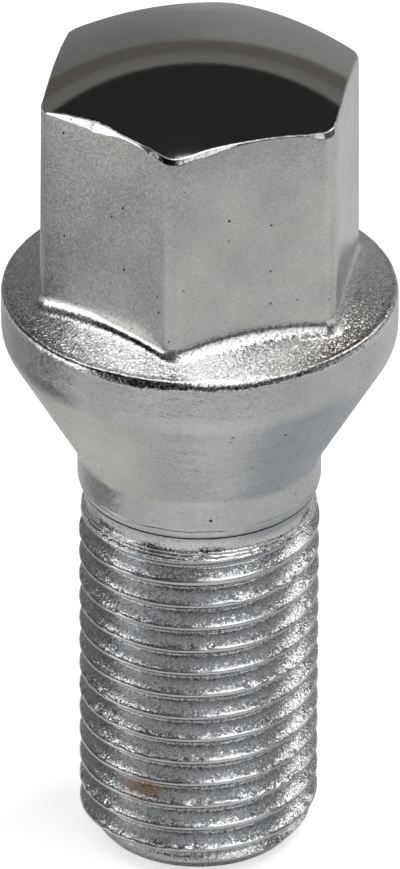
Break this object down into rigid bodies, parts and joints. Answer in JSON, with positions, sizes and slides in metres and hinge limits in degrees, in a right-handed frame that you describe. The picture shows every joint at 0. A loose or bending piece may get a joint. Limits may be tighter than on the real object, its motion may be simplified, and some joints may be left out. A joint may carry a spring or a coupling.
{
  "type": "lug bolt",
  "caption": "Wheel lug bolt with a domed hexagon head, a sloped flange, a conical seat, a plain collar and a fine right-hand thread.",
  "frame": {"origin": "centre of the flat face at the thread's free end, which the bolt stands on", "axes": "+Z along the bolt's axis, from the thread's free end to the domed head; two of the hexagon's flats face +X and -X, and two of its corners point to +Y and -Y"},
  "size_m": [0.0226, 0.0226, 0.0509],
  "materials": {
    "plated_steel": "bright plated steel: mirror-smooth on the domed top, satin on the hexagon and the seat, grainy on the flange and the thread"
  },
  "bodies": {
    "root": {"lug_bolt": "plated_steel"}
  },
  "joints": []
}
